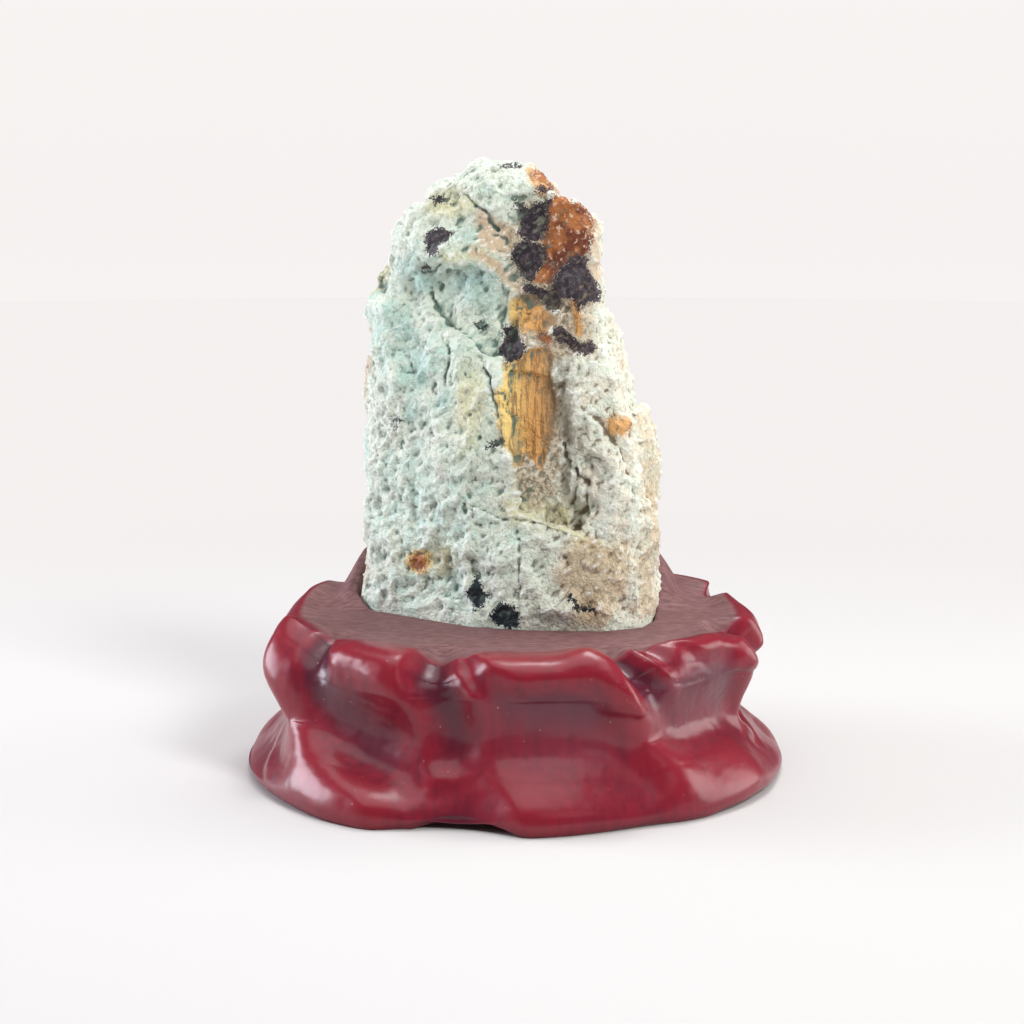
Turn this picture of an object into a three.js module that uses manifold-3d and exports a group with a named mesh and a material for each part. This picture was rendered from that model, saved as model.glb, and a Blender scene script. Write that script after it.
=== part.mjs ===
// A rough aquamarine standing in a carved hardwood stand, in millimetres, +Z up.
// The stone is one natural piece: a stubby beryl prism broken into blocks and ledges. Its foot drops into
// a socket cut in the stand's top and rests on the socket's floor. The stand is one carved piece of wood:
// a flared foot, a waist, a lip of rounded lobes, a flat top and a crest that rises behind the stone.
// Angles round the stand are in degrees from the front (-Y), positive towards +X.
import * as THREE from "three";
import { ConvexGeometry } from "three/addons/geometries/ConvexGeometry.js";
import { ImprovedNoise } from "three/addons/math/ImprovedNoise.js";
import { TessellateModifier } from "three/addons/modifiers/TessellateModifier.js";
import { mergeVertices } from "three/addons/utils/BufferGeometryUtils.js";
import Module from "manifold-3d";

const wasm = await Module();
wasm.setup();

// Driving dimensions of the stand
const TOP = 38; // height of the flat top at the front
const SOCKET_FLOOR = 31; // height of the floor that the stone rests on
const SOCKET_GAP = 0.9; // room between the stone's foot and the socket's wall
const FOOT = { x: 68, y: 66 }; // half-axes of the outline at the foot
const WAIST = { x: 57.5, y: 56.5 };
const LIP = { x: 62, y: 58 };
const TOP_EDGE = { x: 56, y: 48 };
const UNDERSIDE_RADIUS = 45; // the underside is flat this far out, inside the foot's arches
const FOOT_ROUND = 3; // height at which the foot is widest
const FLARE_HEIGHT = 10;
const WAIST_HEIGHT = 18;
const LIP_HEIGHT = 29;
const SHOULDER_HEIGHT = 35;
const LIP_SHIFT = 1.2; // how far the lip lies towards +X of the foot
const BACK_RISE = 3.4; // how much higher the top lies round the back
const CREST_RISE = 13; // how far the crest behind the stone stands above that
const CARVED_EDGE = 0.9; // how round the edge between two gouge cuts is
const SCOOP_FADE = 3.4; // how many half-widths a soft cut takes to die out below
const CUT_STRENGTH = 0.78; // share of its depth that each crisp cut is carved to
const SCOOP_STRENGTH = 0.55; // share of its depth that each soft cut is carved to

// Driving dimensions of the stone
const SWELL = { reach: 22, size: 2.2 }; // long, low waves in its surface
const LUMP = { reach: 8, size: 1.5 }; // short ones
const STONE_EDGE = 8.7; // longest edge of its facets

// How fine the stand's surface is
const FRONT_COLUMNS = 64;
const BACK_COLUMNS = 32;
const STAND_ROWS = 20;
const STAND_TOP_ROWS = 4;

const noise = new ImprovedNoise();
const radians = THREE.MathUtils.degToRad;
const { clamp, lerp, smoothstep } = THREE.MathUtils;

// Directions of the columns of its surface, closer together over the front than round the back.
const COLUMNS = [
  ...Array.from({ length: FRONT_COLUMNS }, (_, k) => -100 + (200 * k) / FRONT_COLUMNS),
  ...Array.from({ length: BACK_COLUMNS }, (_, k) => 100 + (160 * k) / BACK_COLUMNS),
];

// Stations up the stand's side: 0 bottom edge, 1 foot, 2 flare, 3 waist, 4 lip, 5 shoulder, 6 top edge.
// STATION_LENGTH is how far along the side each one lies; 7 and 8 go on over the top.
const STATION_LENGTH = [0, 3.4, 11.4, 20, 31.8, 38.5, 47, 57, 67];
const MEAN_RADIUS = 60;

// Gouge cuts in the stand's side, each a path of [angle, station, half-width, depth].
// A soft cut has a crisp upper edge and dies out gently below.
const CUTS = {
  leftFlank: {
    soft: true,
    path: [
      [-118, 3.7, 7, 3],
      [-99, 3.4, 11, 5.5],
      [-86, 2.7, 11, 4.6],
      [-76, 1.4, 8, 2.4],
      [-70, 0.6, 5, 0.8],
    ],
  },
  leftGroove: {
    path: [
      [-67, 7.6, 2.6, 2.5],
      [-60, 6.2, 3.8, 4],
      [-57, 5.1, 5, 4.4],
      [-53, 4.1, 7, 3.8],
      [-48, 3.4, 8, 1.6],
    ],
  },
  leafScoop: {
    path: [
      [-51, 3.85, 7, 2.4],
      [-42, 3.6, 11, 3],
      [-33, 3, 12.5, 3.2],
      [-26.5, 2.2, 10, 2.4],
      [-23, 1.3, 6, 1],
    ],
  },
  darkValley: {
    path: [
      [-24, 7.4, 3, 1.5],
      [-22.5, 6.2, 6.8, 4.6],
      [-20.5, 5, 8.4, 6.2],
      [-17.5, 4, 9, 6.6],
      [-13.5, 3.1, 9, 5.6],
      [-9, 2.5, 6, 2],
      [-5, 2.2, 3, 0.5],
    ],
  },
  frontArch: { path: [[-9, -1.4, 16, 7.6], [-10, 0.4, 12, 5.6], [-12, 1.4, 9, 3.6], [-14, 2.1, 5.5, 1.2]] },
  middleLobeLeft: {
    path: [
      [-16.5, 6.9, 1.8, 0.4],
      [-13.5, 5.7, 3.4, 2],
      [-9, 4.85, 4.4, 3.4],
      [-3, 4.1, 5.4, 3.4],
      [3, 3.6, 5.6, 1],
    ],
  },
  middleScoop: {
    soft: true,
    path: [
      [-5, 3.95, 4, 3.6],
      [2, 3.82, 6.4, 5.8],
      [9, 3.78, 7.4, 6.6],
      [17, 3.75, 7.4, 6.2],
      [24, 3.6, 5.6, 3.8],
      [28, 3.4, 3.6, 1.4],
    ],
  },
  rightGroove: {
    path: [
      [25.5, 7.4, 2.4, 0.8],
      [28.5, 6.1, 4.8, 4.8],
      [31, 4.9, 6, 6.6],
      [35, 4, 6.4, 6],
      [40, 3.4, 4, 1.6],
    ],
  },
  thinGroove: {
    path: [
      [35, 6.9, 1.6, 0.6],
      [38.5, 5.8, 2.8, 3],
      [42, 4.9, 3.8, 4.2],
      [46, 4.3, 4.2, 3.6],
    ],
  },
  rightScoop: {
    soft: true,
    path: [
      [43, 4.25, 4.6, 4.4],
      [50, 4.3, 7, 6.6],
      [58, 4.2, 7, 6.2],
      [64, 3.6, 5.4, 3.2],
      [68, 2.8, 3, 0.8],
    ],
  },
  rightHollow: {
    path: [
      [70, 8.4, 3.5, 1.6],
      [73.5, 6.9, 7.5, 6.6],
      [77, 5.6, 8.4, 9.4],
      [79, 4.4, 8.4, 8.6],
      [78, 3.3, 7, 5],
      [75, 2.2, 4.4, 1.6],
    ],
  },
  rightFlank: {
    soft: true,
    path: [
      [92, 3.9, 6, 4.6],
      [104, 3.5, 9, 5.6],
      [118, 3.6, 7, 4.6],
      [126, 4.2, 4, 2],
    ],
  },
  rightFlankGroove: {
    path: [
      [106, 7.6, 2.5, 1.5],
      [109, 6.4, 5, 5.4],
      [113, 4.9, 5.6, 5.6],
      [117, 3.6, 4, 3],
    ],
  },
  backRightGroove: {
    path: [
      [145, 7.4, 3, 2],
      [141, 6.2, 6.5, 6],
      [138, 4.4, 7.5, 6.8],
      [132, 3, 6, 4],
      [127, 1.8, 4, 1],
    ],
  },
  backScoop: { soft: true, path: [[148, 4.2, 5, 4.4], [160, 3.8, 8.5, 6], [172, 3.6, 6, 4]] },
  backGroove: { path: [[174, 7, 3, 1.5], [170, 5.8, 5, 5], [166, 4.4, 5, 4]] },
  backLeftGroove: {
    path: [
      [-157, 7.4, 3, 2],
      [-160, 6.2, 6.5, 6],
      [-163, 4.6, 7, 6.6],
      [-168, 2.8, 6, 4],
      [-172, 1.8, 4, 1],
    ],
  },
  backLeftScoop: { soft: true, path: [[-154, 4, 6, 4.6], [-141, 3.7, 9, 6], [-130, 3.6, 6, 3.6]] },
  leftBackGroove: {
    path: [
      [-130, 7.4, 2.5, 1.5],
      [-126, 6, 5.5, 5.6],
      [-122, 4.6, 6.5, 5.8],
      [-116, 3.4, 5, 3],
    ],
  },
  rightRearArch: { path: [[128, -1, 11, 6], [128, 0.9, 7, 2]] },
  leftRearArch: { path: [[-138, -1, 11, 6], [-138, 0.9, 7, 2]] },
  rightArch: { path: [[46, -1.4, 7, 4], [60, -1.2, 8, 4.6], [72, -1.4, 6, 4]] },
};

// Swellings of the side between the cuts: ridges, lobes and the bulges of the foot.
const SWELLS = [
  { path: [[-73, 5.6], [-68, 4], [-59, 2.8], [-50, 1.9], [-39, 1.4], [-30, 1.2]], width: 8.5, height: 4.6 },
  { path: [[-45, 5.4], [-32, 5.2]], width: 8, height: 2 },
  { path: [[-4, 5.3], [14, 5.2]], width: 8, height: 2 },
  { path: [[4, 1.6], [24, 3]], width: 17, height: 3.2 },
  { path: [[20, 5.4], [24, 4.4], [30, 3.2], [36, 1.8]], width: 7, height: 3 },
  { path: [[46, 5.6], [58, 5.6]], width: 7, height: 2 },
  { path: [[67, 5], [69, 3.8], [75, 2.4]], width: 5, height: 2.2 },
  { path: [[86, 5.2], [93, 5]], width: 9, height: 1.6 },
  { path: [[44, 1.7], [58, 1.6]], width: 13, height: 3 },
  { path: [[104, 1.7], [150, 1.6]], width: 12, height: 2.4 },
  { path: [[-160, 1.7], [-110, 1.6]], width: 12, height: 2.4 },
];

// Radius of an ellipse with half-axes x and y in a direction.
const ellipse = (axes, degrees) =>
  1 / Math.hypot(Math.sin(radians(degrees)) / axes.x, Math.cos(radians(degrees)) / axes.y);

// How far towards the back a direction points: 0 from the sides forwards, 1 round the back.
const towardsBack = (degrees) => smoothstep(-Math.cos(radians(degrees)), 0.1, 0.6);

// The point at a radius, height and direction from the upright line through a centre.
function around(degrees, radius, z, centre = { x: 0, y: 0 }) {
  const a = radians(degrees);
  return new THREE.Vector3(centre.x + radius * Math.sin(a), centre.y - radius * Math.cos(a), z);
}

// The stand's side before carving, as a curve of (radius, height) through the stations.
function blankSide(degrees) {
  const foot = ellipse(FOOT, degrees);
  const waist = ellipse(WAIST, degrees);
  const shift = LIP_SHIFT * Math.sin(radians(degrees));
  const lip = ellipse(LIP, degrees) + shift;
  const edge = ellipse(TOP_EDGE, degrees) + 3 * towardsBack(degrees) + shift;
  const rise = BACK_RISE * smoothstep(-Math.cos(radians(degrees)), -0.1, 0.4);
  const stations = [
    [foot - 1.5, 0],
    [foot, FOOT_ROUND],
    [(foot + waist) / 2 - 1, FLARE_HEIGHT],
    [waist, WAIST_HEIGHT],
    [lip, LIP_HEIGHT + rise / 2],
    [lip - 3, SHOULDER_HEIGHT + rise],
    [edge, TOP + rise],
  ];
  return new THREE.SplineCurve(stations.map(([r, z]) => new THREE.Vector2(r, z)));
}

// Millimetres along the side at a station.
function along(station) {
  const k = clamp(Math.floor(station), 0, STATION_LENGTH.length - 2);
  return lerp(STATION_LENGTH[k], STATION_LENGTH[k + 1], station - k);
}

// Where a place on the side lies beside each leg of a path: how far along the leg its nearest point is, how
// far off that is, and whether the place is below the leg.
function* legsBeside(path, degrees, station) {
  const span = (angle, low, high) => new THREE.Vector2(radians(angle) * MEAN_RADIUS, along(high) - along(low));
  for (let k = 0; k + 1 < path.length; k++) {
    const [angle, at] = path[k];
    const [nextAngle, nextAt] = path[k + 1];
    const turn = THREE.MathUtils.euclideanModulo(angle - degrees + 180, 360) - 180;
    const from = span(turn, station, at);
    const run = span(nextAngle - angle, at, nextAt);
    const t = clamp(-from.dot(run) / run.lengthSq(), 0, 1);
    const distance = from.clone().addScaledVector(run, t).length();
    yield { k, t, distance, below: run.cross(from) > 0 };
  }
}

// How deep the carving lies under the blank's side at a direction and a station.
function carvedDepth(degrees, station) {
  let sum = 1;
  for (const { path, soft = false } of Object.values(CUTS)) {
    let deepest = -Infinity;
    for (const { k, t, distance, below } of legsBeside(path, degrees, station)) {
      const width = lerp(path[k][2], path[k + 1][2], t);
      const depth = lerp(path[k][3], path[k + 1][3], t) * (soft ? SCOOP_STRENGTH : CUT_STRENGTH);
      const crisp = 1 - (distance / width) ** 2;
      const gentle = Math.max(1 - (distance / width / SCOOP_FADE) ** 2, 0) ** 2;
      deepest = Math.max(deepest, depth * (soft && below ? gentle : crisp));
    }
    sum += Math.max(Math.exp(deepest / CARVED_EDGE) - 1, 0);
  }
  let depth = CARVED_EDGE * Math.log(sum);
  for (const { path, width, height } of SWELLS) {
    const nearest = Math.min(...[...legsBeside(path, degrees, station)].map((leg) => leg.distance));
    depth -= height * Math.exp(-1.6 * (nearest / width) ** 2);
  }
  return depth;
}

// A point of the carved side, as deep under the blank as asked.
function sidePoint(degrees, station, depth) {
  const curve = blankSide(degrees);
  const at = curve.getPoint(station / 6);
  const run = curve.getTangent(station / 6);
  return around(degrees, at.x - run.y * depth, Math.max(at.y + run.x * depth, 0));
}

// Rings of numbers, each number evened out with its four neighbours.
const evened = (rings) =>
  rings.map((ring, row) =>
    ring.map((value, k) => {
      const beside = [ring.at(k - 1), ring[(k + 1) % ring.length], rings[row - 1]?.[k], rings[row + 1]?.[k]];
      return 0.5 * value + beside.reduce((sum, next) => sum + (next ?? value), 0) / 8;
    }),
  );

// The stone's foot: its outline where it enters the stand, as a convex ring of [x, y].
const STONE_FOOT = [
  [-39, 11], [-35, 4.5], [-10, -14.6], [4, -18.6], [21, -20.4], [31, -16], [34.5, -8], [36.5, 16],
  [27, 28], [4, 33], [-20, 31], [-36, 22],
];

// Distance from the stand's axis to the foot's outline in a direction.
function footRadius(degrees) {
  const out = around(degrees, 1, 0);
  for (const [k, [x, y]] of STONE_FOOT.entries()) {
    const [nextX, nextY] = STONE_FOOT[(k + 1) % STONE_FOOT.length];
    const [runX, runY] = [nextX - x, nextY - y];
    const cross = out.x * runY - out.y * runX;
    const radius = (x * runY - y * runX) / cross;
    const share = (x * out.y - y * out.x) / cross;
    if (radius > 0 && share >= 0 && share <= 1) return radius;
  }
  return 0;
}

// Height of the stand's top, a share of the way in from its edge to the socket.
function topHeight(degrees, share, edgeHeight) {
  const level = lerp(edgeHeight, TOP + BACK_RISE * towardsBack(degrees), smoothstep(share, 0, 0.35));
  const crest = CREST_RISE * towardsBack(degrees) * (0.9 + 0.1 * Math.cos(radians(degrees * 5 + 40)));
  return level + crest * (smoothstep(share, 0.4, 0.9) - 0.1 * smoothstep(share, 0.85, 1));
}

// A closed body from rings of points, from the lowest up, closed by a point at each end.
function bodyFromRings(rings, bottom, top) {
  const points = [bottom, ...rings.flat(), top];
  const count = rings[0].length;
  const at = (ring, k) => 1 + ring * count + (k % count);
  const index = [];
  for (let k = 0; k < count; k++) {
    index.push(0, at(0, k + 1), at(0, k));
    for (let ring = 0; ring + 1 < rings.length; ring++) {
      index.push(at(ring, k), at(ring, k + 1), at(ring + 1, k + 1));
      index.push(at(ring, k), at(ring + 1, k + 1), at(ring + 1, k));
    }
    index.push(at(rings.length - 1, k), at(rings.length - 1, k + 1), points.length - 1);
  }
  return new THREE.BufferGeometry().setFromPoints(points).setIndex(index);
}

function standGeometry() {
  const socket = (degrees) => footRadius(degrees) + SOCKET_GAP;
  const stations = Array.from({ length: STAND_ROWS + 1 }, (_, row) => (6 * row) / STAND_ROWS);
  const depths = evened(stations.map((station) => COLUMNS.map((degrees) => carvedDepth(degrees, station))));
  const rings = depths.map((ring, row) => ring.map((depth, k) => sidePoint(COLUMNS[k], stations[row], depth)));
  const edges = rings.at(-1);
  for (let row = 1; row <= STAND_TOP_ROWS; row++) {
    const share = row / STAND_TOP_ROWS;
    const ring = COLUMNS.map((degrees, k) => {
      const radius = lerp(Math.hypot(edges[k].x, edges[k].y), socket(degrees), share);
      return around(degrees, radius, topHeight(degrees, share, edges[k].z));
    });
    rings.push(ring);
  }
  rings.unshift(COLUMNS.map((degrees) => around(degrees, UNDERSIDE_RADIUS, 0)));
  rings.push(COLUMNS.map((degrees) => around(degrees, socket(degrees), SOCKET_FLOOR)));
  return bodyFromRings(rings, new THREE.Vector3(0, 0, 0), new THREE.Vector3(0, 0, SOCKET_FLOOR));
}

// A convex block of the stone with the given corners [x, y, z].
const block = (...corners) => new ConvexGeometry(corners.map((corner) => new THREE.Vector3(...corner)));

// A rounded knob of the stone.
const knob = (centre, halfSize, turn) =>
  new THREE.IcosahedronGeometry(1, 2).scale(...halfSize).rotateY(radians(turn)).translate(...centre);

// The blocks that the stone is broken into. Their feet reach down to the socket's floor.
const footing = (...outline) => outline.map(([x, y]) => [x, y, SOCKET_FLOOR]);
const STONE_BLOCKS = {
  core: block(
    ...footing([-37, 12], [-31, 3], [-9, -13], [20, -15], [33, -8], [35, 14], [27, 27], [4, 32], [-20, 30]),
    [-34, 12, 108], [-29, 4, 108], [-8, -9, 108], [14, -11, 108], [22, -5, 108],
    [24, 14, 108], [17, 23, 108], [-4, 27, 108], [-22, 26, 108], [-33, 20, 108],
  ),
  leftPlate: block(
    ...footing([-39, 11], [-35, 4.5], [-10, -14.6], [1, -18], [1, -8], [-36, 22]),
    [-35.6, 12, 118], [-33, 4, 116], [-20, -6.5, 110], [-3, -16, 101], [0.5, -17.5, 95],
    [-32, 14, 122], [-16, 0, 118], [-1, -8, 106],
  ),
  aquaPanel: block(
    [-35, 14, 96], [-30, 5, 100], [-9, -7, 96], [8, -10, 96], [14, -4, 96], [14, 20, 96], [-30, 22, 96],
    [-34, 13, 124], [-30, 5, 128], [-10, -5, 130], [6, -8, 126], [12, 12, 130], [-24, 20, 128],
  ),
  upperLeft: block(
    [-34.5, 12, 121], [-29.5, 4, 130], [-24, -3, 130], [-10, -8.5, 126], [3.5, -11, 119], [5, -10, 119],
    [-27.4, 12, 139], [-25.4, 4, 140.5], [-12, -3, 141], [5, -6, 140], [6, 12, 141], [-18, 19, 136],
    [-32, 18, 124],
  ),
  topKnob: knob([-5, 2.5, 139], [10.5, 10, 12.6], 14),
  topRight: block(
    [-8, -6, 132], [3, -8, 130], [10, -5, 134], [-5, -3, 150], [2, -1, 149.5], [8, 0, 147],
    [10.5, 1, 143], [10, 11, 142], [0, 12, 147], [-8, 12, 136],
  ),
  smallKnob: knob([-16.4, 5, 143], [4.6, 5.5, 4.6], 0),
  rustBlock: block(
    [8, -9, 112], [15, -12, 112], [22, -7, 112], [24, 8, 110], [8, 14, 110],
    [9, -6, 143.5], [16, -6, 141.5], [18, -4, 138.5], [20, -2, 135.5], [21, 0, 127],
    [20.5, 9, 127], [16, 10, 140], [6, 12, 142],
  ),
  darkSeam: block(
    [3, -8.8, 118], [10, -8.8, 118], [10, 6, 118], [3, 6, 118],
    [4, -5.4, 140], [10.5, -5.2, 141], [10.5, 6, 141], [4, 6, 140],
  ),
  middleLedge: block(
    [-1, -12, 100], [10, -13, 98], [20, -14, 100], [25, -5, 100], [22, 8, 100],
    [0, -11, 117], [8, -12.5, 116], [16, -12.5, 114], [22, -7, 113], [21, 6, 115],
  ),
  rightMass: block(
    [13, -12, 107], [21, -10, 114.5], [25.7, -3, 114.5], [28.8, 0, 105], [28.5, 12, 102], [12, 18, 108],
    [17.5, -16.5, 90], [26, -15, 94], [29.6, -8, 93], [29.5, 10, 92],
    [14, -15, 70], [24, -19, 64], [30, -14, 62], [30, 14, 60], [8, 18, 60], [24, 22, 62],
  ),
  rightShoulder: block(
    [19, -17, 86], [25, -16.6, 90], [31.5, -11, 91], [34.2, -4, 88], [36.3, 0, 77], [36.4, 13, 72], [33, 13, 88],
    [20, 18, 84], [25, -19.4, 72], [30, -17.5, 70], [22, -19, 58], [34, -10, 54], [36, 14, 50],
    [8, 18, 50], [26, 26, 52],
  ),
  rightFoot: block(
    ...footing([16, -18], [21, -20.4], [31, -16], [34.5, -8], [36.5, 16], [27, 28], [8, 20]),
    [18, -18.5, 66], [30, -16, 64], [35.6, -7, 66], [36.8, 15, 60], [26, 26, 60], [8, 18, 66],
  ),
  lowerShelf: block(
    ...footing([-12, -13], [-10, -14.6], [4, -18.6], [21, -20.4], [31, -16], [34.5, -8], [0, 0]),
    [-11, -14.5, 68], [-2, -18.6, 64.5], [4, -19, 65.5], [11, -19.8, 63], [21.5, -20.6, 59],
    [31.5, -16.2, 58], [34, -9, 57], [0, 0, 66],
  ),
  peeledFlake: block([-5, -15, 68], [0.8, -18.6, 66], [1.6, -12, 68], [-5, -15, 92], [-2.6, -18.4, 91], [0.4, -12, 94]),
  backSlab: block(
    ...footing([-36, 22], [-20, 31], [4, 33], [12, 24], [-28, 14]),
    [-34.5, 20, 100], [-19, 30, 104], [2, 31, 96], [10, 22, 92], [-26, 14, 108],
  ),
  backRight: block(
    ...footing([6, 32], [27, 28], [36.5, 16], [30, 8], [8, 16]),
    [9, 30.5, 84], [25, 27.5, 78], [35, 16.5, 72], [28, 8, 80], [8, 16, 90],
  ),
  backTop: block(
    [-27, 24, 92], [-6, 29.5, 92], [15, 24, 92], [10, 8, 92], [-20, 8, 92],
    [-21, 18, 132], [-6, 23, 127], [11, 18, 125], [8, 8, 136], [-16, 8, 138],
  ),
};

// How far a point of the stone wanders from its blocks. Its foot stays where it is.
function weathering(p) {
  const free = smoothstep(p.z, SOCKET_FLOOR + 1, SOCKET_FLOOR + 16);
  const shifts = [1, 2, 3].map((axis) => {
    const offset = 17.3 * axis;
    let shift = 0;
    for (const { reach, size } of [SWELL, LUMP]) {
      shift += size * noise.noise(p.x / reach + offset, p.y / reach - offset, p.z / reach + 2 * offset);
    }
    return shift;
  });
  return new THREE.Vector3(...shifts).multiplyScalar(free);
}

// A geometry as a manifold-3d solid, for joining.
function toSolid(geometry) {
  const bare = new THREE.BufferGeometry().setAttribute("position", geometry.getAttribute("position"));
  const merged = mergeVertices(bare, 1e-4);
  const vertProperties = merged.getAttribute("position").array;
  const triVerts = new Uint32Array(merged.index.array);
  return new wasm.Manifold(new wasm.Mesh({ numProp: 3, vertProperties, triVerts }));
}

// The stone is its blocks joined, with long edges divided so that the surface can wander from flat faces.
function stoneGeometry() {
  const { vertProperties, triVerts } = wasm.Manifold.union(Object.values(STONE_BLOCKS).map(toSolid)).getMesh();
  const joined = new THREE.BufferGeometry()
    .setAttribute("position", new THREE.BufferAttribute(vertProperties, 3))
    .setIndex(new THREE.BufferAttribute(triVerts, 1));
  const divided = new TessellateModifier(STONE_EDGE, 12).modify(joined.toNonIndexed());
  const position = divided.getAttribute("position");
  for (let k = 0; k < position.count; k++) {
    const p = new THREE.Vector3().fromBufferAttribute(position, k);
    p.add(weathering(p));
    position.setXYZ(k, p.x, p.y, p.z);
  }
  return mergeVertices(new THREE.BufferGeometry().setAttribute("position", position), 1e-4);
}

function namedMesh(name, geometry, look) {
  const mesh = new THREE.Mesh(geometry, new THREE.MeshStandardMaterial(look));
  mesh.name = name;
  return mesh;
}

const specimen = new THREE.Group();
specimen.add(
  namedMesh("aquamarine", stoneGeometry(), { color: 0xc9dcd2, roughness: 0.55, metalness: 0 }),
  namedMesh("stand", standGeometry(), { color: 0x5e0f1a, roughness: 0.28, metalness: 0 }),
);

// The origin lies under the middle of the whole specimen, on the surface that the stand's foot rests on.
const middle = new THREE.Box3().setFromObject(specimen).getCenter(new THREE.Vector3());
for (const mesh of specimen.children) mesh.position.set(-middle.x, -middle.y, 0);

export default specimen;
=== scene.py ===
"""A rough aquamarine standing in its carved, lacquered stand, in metres, +Z up.

Shapes are worked out in millimetres from the stand's own upright axis, and moved to the part's origin last.
"""
import math
from itertools import product

import bpy
import numpy as np
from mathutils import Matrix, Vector


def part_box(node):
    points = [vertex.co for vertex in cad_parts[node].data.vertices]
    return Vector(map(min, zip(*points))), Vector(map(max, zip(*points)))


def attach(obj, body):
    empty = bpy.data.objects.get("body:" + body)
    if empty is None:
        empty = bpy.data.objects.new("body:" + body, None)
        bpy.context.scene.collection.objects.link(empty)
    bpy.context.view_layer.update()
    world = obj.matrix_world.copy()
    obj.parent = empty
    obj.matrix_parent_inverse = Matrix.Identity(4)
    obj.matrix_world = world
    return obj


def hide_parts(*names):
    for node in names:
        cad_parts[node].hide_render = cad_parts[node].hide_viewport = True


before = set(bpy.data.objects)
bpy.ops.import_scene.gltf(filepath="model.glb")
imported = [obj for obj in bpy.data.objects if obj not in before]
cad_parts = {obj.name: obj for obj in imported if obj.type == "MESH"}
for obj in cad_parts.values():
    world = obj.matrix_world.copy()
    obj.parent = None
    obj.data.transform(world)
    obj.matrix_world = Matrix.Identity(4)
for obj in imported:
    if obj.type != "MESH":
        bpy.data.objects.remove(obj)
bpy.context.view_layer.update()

MM = 0.001
STONE_CORNER = np.array([-39.0, -21.457])  # lowest corner of the stone's box, from the stand's axis
AXIS = np.append(np.array(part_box("aquamarine")[0])[:2] / MM - STONE_CORNER, 0)

# The camera, in millimetres from the stand's axis
CAMERA = np.array([0.0, -614.0, 166.0])
AIM = np.array([0.0, 0.0, 64.0])
MM_PER_PIXEL = 0.25  # at the stand's axis
IMAGE_SIZE = 1024
SENSOR = 36.0
BACKGROUND = (0.91, 0.875, 0.865)

# The stone's surface
GRAIN = 0.6  # spacing of its points
SOCKET_FLOOR = 31.0  # the stone stands on it
FOOT_HEIGHT = 6.0  # the stone's lowest part, which is kept nearly plain for its socket
STONE_MIDDLE = np.array([-1.0, 6.0, 0.0])
STONE_HALF = np.array([37.0, 27.0, 1.0])
BLOCKS = [(3.2, (8, 8, 11), 3), (1.7, (3.4, 3.4, 4.6), 7), (-0.6, 3, 9)]  # chips: height, reach, seed
SPLINTER_REACH = (2.6, 2.0, 1.4)
SPLINTER_SLANT = 0.6
LEDGE = 0.9  # height of the steps in its broken faces
LEDGE_SHARE = 0.55
STEP_FRONT = (0.38, 0.62)  # where in each step its steep front begins and ends
MARK_REACH = 6.0  # how far from its outline a mark still fades, at most
SHAPE_PASSES = 4  # times that its points are evened out, here and to find crevices and recesses
CREVICE_PASSES = 3
RECESS_PASSES = 40

# The chips of a broken face
CHIP_STRAY = 0.42
CHIP_LEVEL = 0.35
CHIP_BOWL = 0.55
CHIP_TILT = 0.6

# The stand's surface
STAND_COLUMNS = 540
STAND_ROWS = 150
TOP_ROWS = 24
UNDERSIDE_RADIUS = 45.0
EVEN_FINE = 0.7  # how far its carving is evened out
EVEN_BROAD = 7.0  # the reach over which a place counts as hollow or raised
TOP_FADE = 0.12  # the share of the top over which the side's finish gives way to the top's


# Numbers over many places at once

def smooth(low, high, value):
    share = np.clip((value - low) / (high - low), 0, 1)
    return share * share * (3 - 2 * share)


def lerp(start, end, share):
    return start + (end - start) * share


CELL_PRIMES = np.array([73856093, 19349663, 83492791], dtype=np.uint64)
SEED_PRIME = 2654435761
MIXING_FACTOR = np.uint64(0x9E3779B97F4A7C15)
KEPT_BITS = 24
WAVE_HEIGHT = 1.6


def scattered(cells, seed):
    """Three numbers from -1 to 1 for each cell of a lattice, always the same for the same cell and seed."""
    mixed = (cells.astype(np.int64).astype(np.uint64) * CELL_PRIMES).sum(axis=1, dtype=np.uint64)
    rolls = []
    for turn in range(3):
        number = mixed + np.uint64((seed * 3 + turn + 1) * SEED_PRIME)
        for _ in range(2):
            number = (number ^ (number >> np.uint64(31))) * MIXING_FACTOR
        rolls.append((number >> np.uint64(64 - KEPT_BITS)).astype(float) / 2 ** (KEPT_BITS - 1) - 1)
    return np.stack(rolls, axis=1)


def waves(places, reach, seed):
    """Smooth noise from about -1 to 1, with waves of a given reach in millimetres along each axis."""
    at = places / reach
    cell = np.floor(at)
    inside = at - cell
    fade = inside ** 3 * (inside * (inside * 6 - 15) + 10)
    total = np.zeros(len(places))
    for corner in product((0, 1), repeat=3):
        step = np.array(corner)
        slope = scattered(cell + step, seed)
        weight = np.prod(np.where(step, fade, 1 - fade), axis=1)
        total += weight * np.sum(slope * (inside - step), axis=1)
    return total * WAVE_HEIGHT


def chips(places, reach, seed):
    """Heights of a broken surface: shallow bowls and tilted faces that meet at sharp ridges."""
    at = places / reach
    cell = np.floor(at)
    lowest = np.full(len(places), np.inf)
    for step in product((-1, 0, 1), repeat=3):
        near = cell + np.array(step)
        away = at - near - 0.5 - CHIP_STRAY * scattered(near, seed)
        height = CHIP_LEVEL * scattered(near, seed + 1)[:, 0] + CHIP_BOWL * np.sum(away ** 2, axis=1)
        height += CHIP_TILT * np.sum(away * scattered(near, seed + 2), axis=1)
        lowest = np.minimum(lowest, height)
    return lowest


def ledges(height):
    """Heights gathered into steps with steep fronts."""
    steps = np.floor(height / LEDGE)
    return LEDGE * (steps + smooth(*STEP_FRONT, height / LEDGE - steps))


# Marks on the front of the stone, as (across, up) in millimetres in the camera's view

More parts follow.
